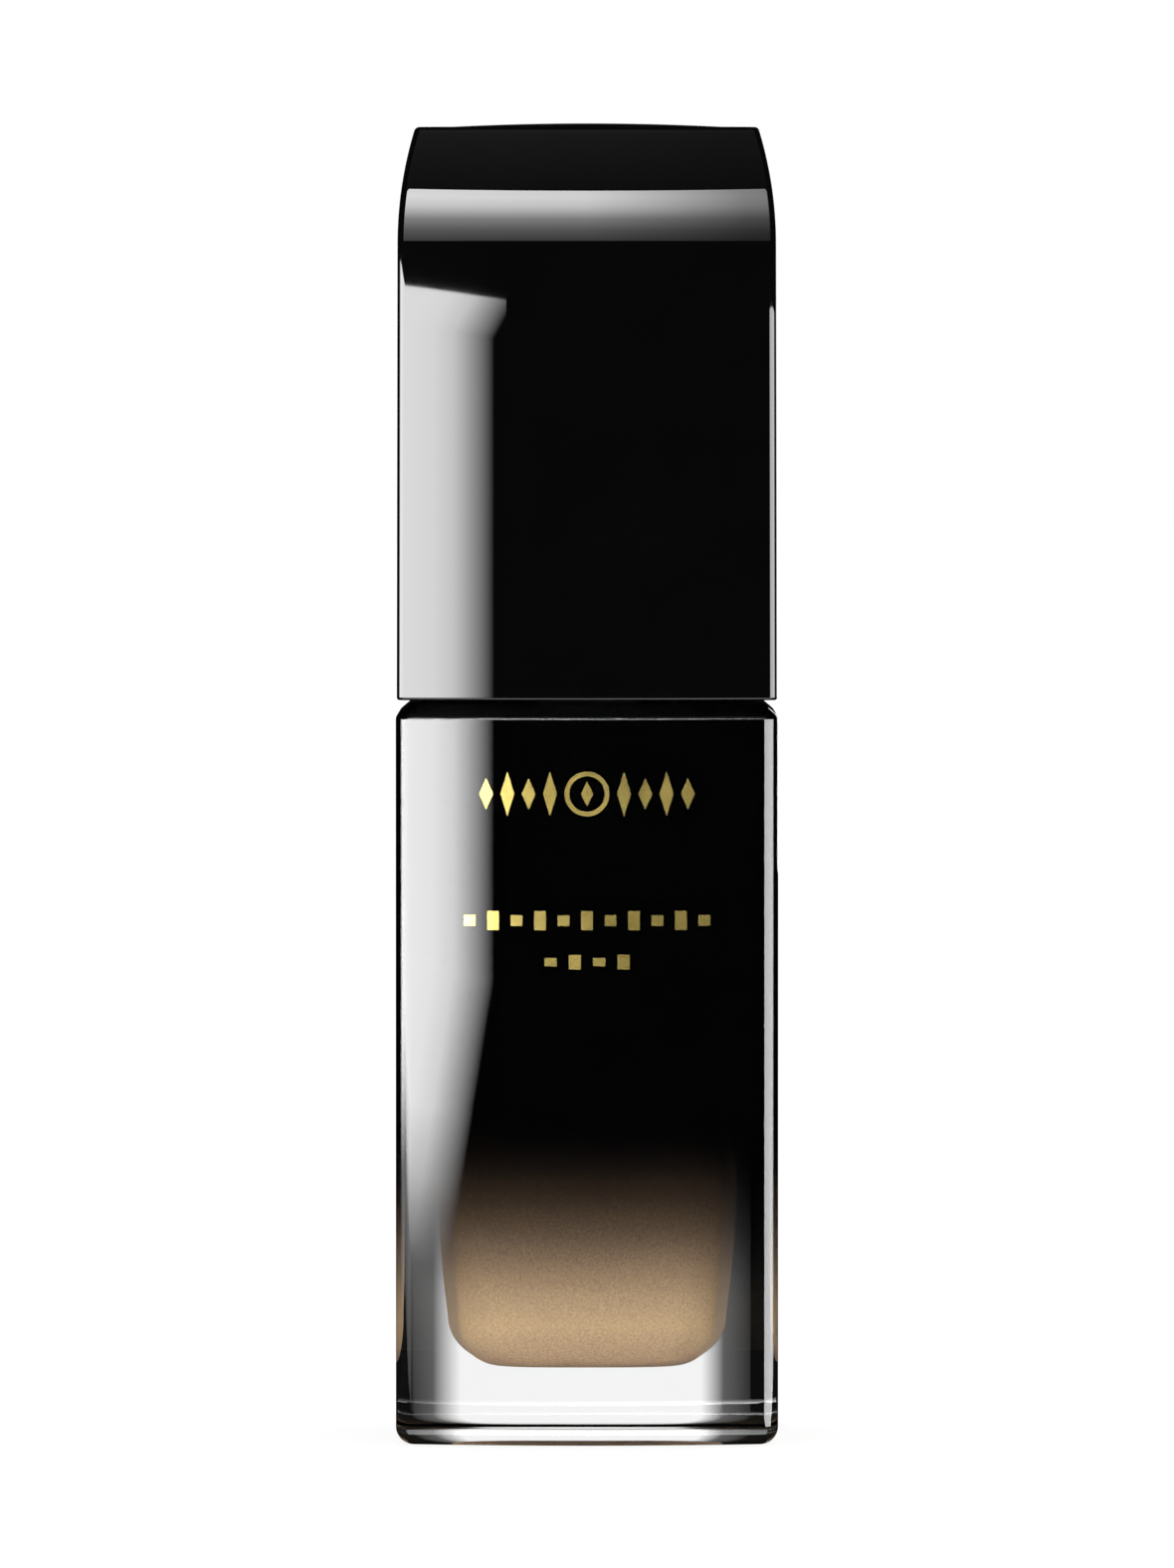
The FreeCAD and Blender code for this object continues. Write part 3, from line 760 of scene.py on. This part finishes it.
    def lacquer(self) -> bpy.types.Object:
        """The lacquer film, a thin closed skin just under the glass's polished surface."""
        inside, outside = Profile(), Profile()
        for profile, gap in ((outside, self.film_outside), (inside, self.film_inside)):
            self.outer(profile, self.film_foot, gap)
            profile.add(self.shoulder_top - gap, self.shoulder_inset + 0.3, 1.0, 1.0,
                        np.linspace(0, 1, 8)[1:], self.neck + 1.0)
        rings = np.concatenate([outside.points(self.form), inside.points(self.form)[::-1]])
        return skin("lacquer_film", rings, Ends.LOOP)

    def build(self) -> None:
        """Makes the glass, filling and lacquer, and dresses the foil and label."""
        settle(self.glass(), self.palette.glass, "bottle", "glass_bottle")
        settle(self.filling(), self.palette.foundation, "bottle", "foundation_fill")
        settle(self.lacquer(), self.palette.lacquer, "bottle")
        dress("foil_emblem", self.palette.gold_foil)
        dress("foil_rules", self.palette.gold_foil)
        dress("base_label", self.palette.label)


@dataclass
class Overcap:
    """The outer cap and its inner sleeve.

    Attributes are the cap's sizes in millimetres, apart from the palette and crown_steps, the number
    of gaps between rings over the crown.
    """

    palette: Palette
    half: float = 17.0
    face_radius: float = 61.9
    corner: float = 0.9
    bottom: float = 66.6
    top: float = 118.3
    draft: float = 0.08
    lean_start: float = 107.3
    lean_radius: float = 35.5
    crown_radius: float = 240.0
    top_edge: float = 0.5
    bottom_edge: float = 0.25
    wall: float = 1.8
    ceiling: float = 115.6
    rim_reach: float = 15.3
    rim_fall: float = 0.5
    crown_steps: int = 30

    def shell(self) -> bpy.types.Object:
        """The shell: down the inside from the middle of the ceiling, then up the outside to the crown.

        The walls taper evenly, then lean in along a circle whose inset is its radius less the root of
        its radius squared less the rise squared; the crown falls by the square of the distance from
        the axis.
        """
        p = Profile()
        inner_radius = self.lean_radius - self.wall
        deep = self.ceiling - self.lean_start
        at_top = self.draft + inner_radius - math.sqrt(inner_radius ** 2 - deep ** 2) + self.wall
        p.add(self.ceiling, at_top, 1.4, np.linspace(0.05, 0.99, 10))
        rise = np.linspace(deep, 0, 14)
        p.add(self.lean_start + rise,
              self.wall + self.draft + inner_radius - np.sqrt(inner_radius ** 2 - rise ** 2), 1.4)
        z = eased(self.lean_start - 0.1, self.bottom + 0.1, 20)
        p.add(z, self.wall + self.draft * (z - self.bottom) / (self.lean_start - self.bottom), 1.4)
        a = quarter(5)
        p.add(self.bottom + 0.1 * (1 - np.sin(a)), self.wall - 0.1 * (1 - np.cos(a)), 1.3)
        p.add(self.bottom, eased(self.wall - 0.15, self.bottom_edge + 0.02, 6), 0.9)
        a = quarter(6)
        e = self.bottom_edge
        p.add(self.bottom + e * (1 - np.cos(a)), e * (1 - np.sin(a)), self.corner)
        z = eased(self.bottom + e + 0.02, self.lean_start, 48)
        p.add(z, self.draft * (z - self.bottom) / (self.lean_start - self.bottom), self.corner)
        slope, edge_top = self.rim()
        end = edge_top - self.top_edge * (1 - math.sin(slope))
        rise = np.linspace(0, end - self.lean_start, 40)[1:]
        inset = self.draft + self.lean_radius - np.sqrt(self.lean_radius ** 2 - rise ** 2)
        p.add(self.lean_start + rise, inset, self.corner)
        b = np.linspace(slope, math.pi / 2 - 0.065, 9)[1:]
        p.add(end + self.top_edge * (np.sin(b) - math.sin(slope)),
              inset[-1] + self.top_edge * (math.cos(slope) - np.cos(b)), self.corner)
        last = inset[-1] + self.top_edge * math.cos(slope)
        p.add(0.0, last, self.corner, 1 - eased(0.004, 0.96, self.crown_steps))
        crown = sum(len(v) for v in p.height) - (self.crown_steps + 1)

        def shape(points: Array, share: Array) -> Array:
            """Domes the crown."""
            part = points[crown:]
            part[..., 2] = self.top - (part[..., 0] ** 2 + part[..., 1] ** 2) / (2 * self.crown_radius)
            return points

        return skin("overcap_outer", p.points(SquareForm(self.half, self.face_radius), shape), Ends.POLES)

    def rim(self) -> tuple[float, float]:
        """The lean's slope at the rim in radians, and the height the crown has there."""
        slope = math.asin((self.top - self.rim_fall - self.lean_start) / self.lean_radius)
        return slope, self.top - self.rim_reach ** 2 / (2 * self.crown_radius) - 0.02

    def build(self) -> None:
        """Makes the shell and dresses the sleeve."""
        settle(self.shell(), self.palette.gloss_black, "overcap", "overcap_shell")
        dress("overcap_liner", self.palette.matte_black)


@dataclass
class Pump:
    """The pump, its collar and its button: CAD pieces in their finishes, and a spring.

    Attributes:
        palette: the finishes.
        wire: radius of the spring's wire, in millimetres.
        coil: radius of the spring to the middle of its wire.
        turns: number of turns.
        spring_foot, spring_head: heights of the middle of the wire at the two ends.
        stroke: how far the button goes down; not used.
        steps_per_turn, wire_points: rings in a turn, and points round the wire.
    """

    palette: Palette
    wire: float = 0.3
    coil: float = 3.2
    turns: float = 4.5
    spring_foot: float = 62.93
    spring_head: float = 69.87
    stroke: float = 4.5
    steps_per_turn: int = 28
    wire_points: int = 12

    def spring(self) -> bpy.types.Object:
        """The return spring: a circle of the wire's radius carried up a helix.

        The middle of the wire is at coil x (cos t, sin t) and climbs evenly with t; the circle lies in
        the upright plane through the axis.
        """
        t = np.linspace(0, 2 * math.pi * self.turns, int(self.turns * self.steps_per_turn) + 1)[:, None]
        a = np.linspace(0, 2 * math.pi, self.wire_points + 1)[None, :-1]
        out = self.coil + self.wire * np.sin(a)
        rise = self.spring_foot + (self.spring_head - self.spring_foot) * t / t[-1]
        rings = np.stack([out * np.cos(t), out * np.sin(t), rise + self.wire * np.cos(a)], 2)
        return skin("spring_coil", rings, Ends.POLES)

    def build(self) -> None:
        """Makes the spring, fixes it to the pump body, and dresses the rest."""
        coil = self.spring()
        coil.data.materials.append(self.palette.steel)
        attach(coil, "pump_body")
        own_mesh(coil)
        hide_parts("return_spring")
        p = self.palette
        finishes = {
            "pump_housing": p.natural, "stem_guide": p.natural, "dip_tube": p.natural, "stem": p.natural,
            "stem_plug": p.natural, "piston": p.seal, "neck_gasket": p.gasket, "inlet_ball": p.steel,
            "screw_closure": p.matte_black, "collar_sleeve": p.champagne,
            "actuator_head": p.gloss_black, "actuator_cover": p.champagne, "nozzle_insert": p.gloss_black,
        }
        for node, material in finishes.items():
            dress(node, material)


# ------------------------------------------------------------------------------------------------
# the studio
# ------------------------------------------------------------------------------------------------

@dataclass(frozen=True)
class Panel:
    """A flat light panel seen only in reflections and through glass.

    Attributes:
        name: its name.
        corners: three corners in metres: the origin, the end of its width and the end of its height.
        strength: its brightness.
        across, upward: (place, share of the brightness) across its width and up its height.
        shift: (place up its height, half plus how far the curve across moves along there).
        seen_in_glass: whether it shows through glass.
        seen_in_gloss: whether it shows in reflections.
    """

    name: str
    corners: tuple[tuple[float, float, float], ...]
    strength: float
    across: tuple[tuple[float, float], ...] = ((0.0, 1.0), (1.0, 1.0))
    upward: tuple[tuple[float, float], ...] = ((0.0, 1.0), (1.0, 1.0))
    shift: tuple[tuple[float, float], ...] = ((0.0, 0.5), (1.0, 0.5))
    seen_in_glass: bool = True
    seen_in_gloss: bool = True

    def edges(self) -> Array:
        """Its lower and upper edges, as an array of shape (2, points, 3) in metres."""
        o, w, h = (np.array(c) for c in self.corners)
        return np.stack([np.stack([o, w]), np.stack([h, w + h - o])])

    def build(self) -> bpy.types.Object:
        """Makes the panel as a strip with its own UV map, and hides it from the camera."""
        edges = self.edges()
        count = edges.shape[1]
        i = np.arange(count - 1)
        quads = np.stack([i, i + 1, i + 1 + count, i + count], 1)
        mesh = bpy.data.meshes.new(self.name)
        mesh.from_pydata(edges.reshape(-1, 3).tolist(), [], quads.tolist())
        place = np.stack(np.meshgrid(np.linspace(0, 1, count), [0.0, 1.0]), 2).reshape(-1, 2)
        layer = mesh.uv_layers.new(name="UVMap")
        layer.data.foreach_set("uv", place[quads.ravel()].astype(np.float32).ravel())
        made = bpy.data.objects.new(self.name, mesh)
        bpy.context.scene.collection.objects.link(made)
        mesh.materials.append(self.light())
        made.visible_camera = False
        made.visible_diffuse = False
        made.visible_shadow = False
        made.visible_glossy = self.seen_in_gloss
        made.visible_transmission = self.seen_in_glass
        return made

    def light(self) -> bpy.types.Material:
        """An emission whose strength follows the panel's curves."""
        bench = Bench(f"{self.name} light")
        tree = bench.tree
        tree.nodes.remove(bench.shader)
        split = bench.node("ShaderNodeSeparateXYZ")
        bench.link(bench.place.outputs["UV"], split.inputs[0])
        moved = bench.node("ShaderNodeMath", operation="SUBTRACT")
        bench.link(split.outputs["X"], moved.inputs[0])
        bench.link(bench.curve(split.outputs["Y"], self.shift), moved.inputs[1])
        back = bench.node("ShaderNodeMath", operation="ADD")
        back.inputs[1].default_value = 0.5
        bench.link(moved.outputs[0], back.inputs[0])
        both = bench.node("ShaderNodeMath", operation="MULTIPLY")
        bench.link(bench.curve(back.outputs[0], self.across), both.inputs[0])
        bench.link(bench.curve(split.outputs["Y"], self.upward), both.inputs[1])
        power = bench.node("ShaderNodeMath", operation="MULTIPLY")
        power.inputs[1].default_value = self.strength
        bench.link(both.outputs[0], power.inputs[0])
        glow = bench.node("ShaderNodeEmission")
        bench.link(power.outputs[0], glow.inputs["Strength"])
        leave = tree.nodes["Material Output"]
        bench.link(glow.outputs[0], leave.inputs["Surface"])
        return bench.material


@dataclass(frozen=True)
class CurvedPanel(Panel):
    """A panel bent round the object at an even distance, so that its edges stay level in a reflection.

    Its corners are read as (distance, first bearing, foot) and (distance, last bearing, top), with
    bearings in degrees to the right of the front.
    """

    steps: int = 32

    def edges(self) -> Array:
        """The edges follow a circle: x = distance x sin(bearing), y = -distance x cos(bearing)."""
        (distance, first, foot), (_, last, top) = self.corners
        bearing = np.radians(np.linspace(first, last, self.steps + 1))
        plan = distance * np.stack([np.sin(bearing), -np.cos(bearing)], 1)
        return np.stack([np.column_stack([plan, np.full(len(plan), z)]) for z in (foot, top)])


@dataclass
class Studio:
    """White surroundings for the camera, dark ones for reflections, panels, floor and camera.

    Attributes:
        distance, camera_height: where the camera stands, in metres.
        pitch: how far it looks down, in degrees.
        lens: focal length in millimetres on a 36 mm long side.
        floor_half, floor_height: half the floor's width and its height, in metres.
    """

    distance: float = 1.35
    camera_height: float = 0.094
    pitch: float = 1.496
    lens: float = 343.4
    floor_half: float = 8.0
    floor_height: float = -0.00005

    def world(self) -> None:
        """White for the camera and for soft light, nearly black for reflections and refractions."""
        world = bpy.data.worlds.new("Studio surroundings")
        bpy.context.scene.world = world
        world.use_nodes = True
        tree = world.node_tree
        path = tree.nodes.new("ShaderNodeLightPath")
        seen = tree.nodes.new("ShaderNodeMath")
        seen.operation = "MAXIMUM"
        tree.links.new(path.outputs["Is Camera Ray"], seen.inputs[0])
        tree.links.new(path.outputs["Is Diffuse Ray"], seen.inputs[1])
        level = tree.nodes.new("ShaderNodeMapRange")
        level.inputs["To Min"].default_value = 0.004
        level.inputs["To Max"].default_value = 1.0
        tree.links.new(seen.outputs[0], level.inputs["Value"])
        back = tree.nodes["Background"]
        back.inputs["Color"].default_value = (1.0, 1.0, 1.0, 1.0)
        tree.links.new(level.outputs["Result"], back.inputs["Strength"])

    def floor(self) -> None:
        """A pale floor that glows a little, so that it stays pale without a hard shadow."""
        mesh = bpy.data.meshes.new("studio_floor")
        r, z = self.floor_half, self.floor_height
        mesh.from_pydata([(-r, -r, z), (r, -r, z), (r, r, z), (-r, r, z)], [], [(0, 1, 2, 3)])
        made = bpy.data.objects.new("studio_floor", mesh)
        bpy.context.scene.collection.objects.link(made)
        bench = Bench("Pale studio floor")
        bench.plain(Base_Color=(0.22, 0.22, 0.22), Roughness=0.9, Specular_IOR_Level=0.0,
                    Emission_Color=(1.0, 1.0, 1.0), Emission_Strength=0.84)
        bench.link(bench.effect(Effect.CLOUDS, 4.0, 0.9, 0.05), bench.shader.inputs["Roughness"])
        mesh.materials.append(bench.material)
        made.visible_glossy = False
        made.visible_transmission = False

    def panels(self) -> list[Panel]:
        """The light panels and the white backdrop that shows through the glass."""
        low = ((0.0, 0.06), (0.13, 0.16), (0.18, 0.48), (0.21, 0.72), (0.27, 1.0))
        left = Panel("left_panel",
                     ((-0.115, -0.46, -0.030), (-0.60, -0.30, -0.024), (-0.115, -0.46, 0.107)),
                     20.5, across=((0.035, 0.0), (0.10, 0.36), (0.15, 0.66), (0.21, 0.80), (0.28, 0.85),
                                   (1.0, 0.9)),
                     upward=low, shift=((0.0, 0.695), (0.39, 0.5), (0.965, 0.5), (1.0, 0.44)),
                     seen_in_glass=False)
        side = Panel("left_side_panel",
                     ((-0.60, -0.30, -0.024), (-0.60, 0.08, -0.024), (-0.60, -0.30, 0.113)),
                     18.0, across=((0.0, 1.0), (0.5, 1.0), (1.0, 0.0)), upward=low, seen_in_glass=False)
        band = CurvedPanel("front_band", ((1.4, -46.0, 0.144), (1.4, 46.0, 0.512)), 17.0,
                           across=((0.20, 1.0), (0.50, 0.92), (0.66, 0.60), (0.80, 0.32), (1.0, 0.2)),
                           upward=((0.0, 0.06), (0.2, 0.13), (0.42, 0.30), (0.68, 0.82), (0.85, 1.0),
                                   (1.0, 0.96)))
        high = CurvedPanel("high_fill", ((1.4, -60.0, 0.52), (1.4, 60.0, 1.6)), 0.5,
                           across=((0.0, 1.0), (0.5, 0.8), (1.0, 0.5)),
                           upward=((0.0, 0.15), (0.4, 0.4), (1.0, 1.0)), seen_in_glass=False)
        under = CurvedPanel("low_fill", ((0.7, -60.0, -0.75), (0.7, 60.0, -0.22)), 3.8)
        right = Panel("right_panel", ((0.30, -0.39, -0.03), (0.60, 0.10, -0.03), (0.30, -0.39, 0.106)), 11.0,
                      across=((0.0, 0.9), (0.7, 1.0), (1.0, 0.0)), seen_in_glass=False)
        backdrop = Panel("backdrop", ((-0.13, 0.60, -0.40), (0.14, 0.60, -0.40), (-0.13, 0.60, 0.60)), 1.0,
                         across=((0.0, 0.03), (0.09, 0.12), (0.13, 0.6), (0.16, 1.0), (0.84, 1.0),
                                 (0.88, 0.6), (0.93, 0.12), (1.0, 0.03)), seen_in_gloss=False)
        behind = Panel("back_panel", ((0.62, 0.80, 0.02), (0.22, 0.95, 0.02), (0.62, 0.80, 0.42)), 3.0,
                       seen_in_glass=False)
        return [left, side, band, high, under, right, backdrop, behind]

    def camera(self) -> None:
        """A long lens in front, level with the overcap and looking slightly down."""
        data = bpy.data.cameras.new("Studio camera")
        data.lens = self.lens
        data.sensor_width = 36.0
        data.clip_start, data.clip_end = 0.05, 20.0
        made = bpy.data.objects.new("Studio camera", data)
        bpy.context.scene.collection.objects.link(made)
        made.location = (0.0, -self.distance, self.camera_height)
        made.rotation_euler = (math.radians(90 - self.pitch), 0.0, 0.0)
        bpy.context.scene.camera = made

    def build(self) -> None:
        """Sets up the surroundings, floor, panels and camera."""
        self.world()
        self.floor()
        for panel in self.panels():
            panel.build()
        self.camera()
        bpy.context.scene.view_settings.view_transform = "Standard"
        log.info("studio ready")


def main() -> None:
    """Builds the object and its studio."""
    logging.basicConfig(level=logging.INFO, format="%(message)s")
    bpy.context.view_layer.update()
    palette = Palette()
    Bottle(palette).build()
    Pump(palette).build()
    Overcap(palette).build()
    Studio().build()


if __name__ == "__main__":
    main()
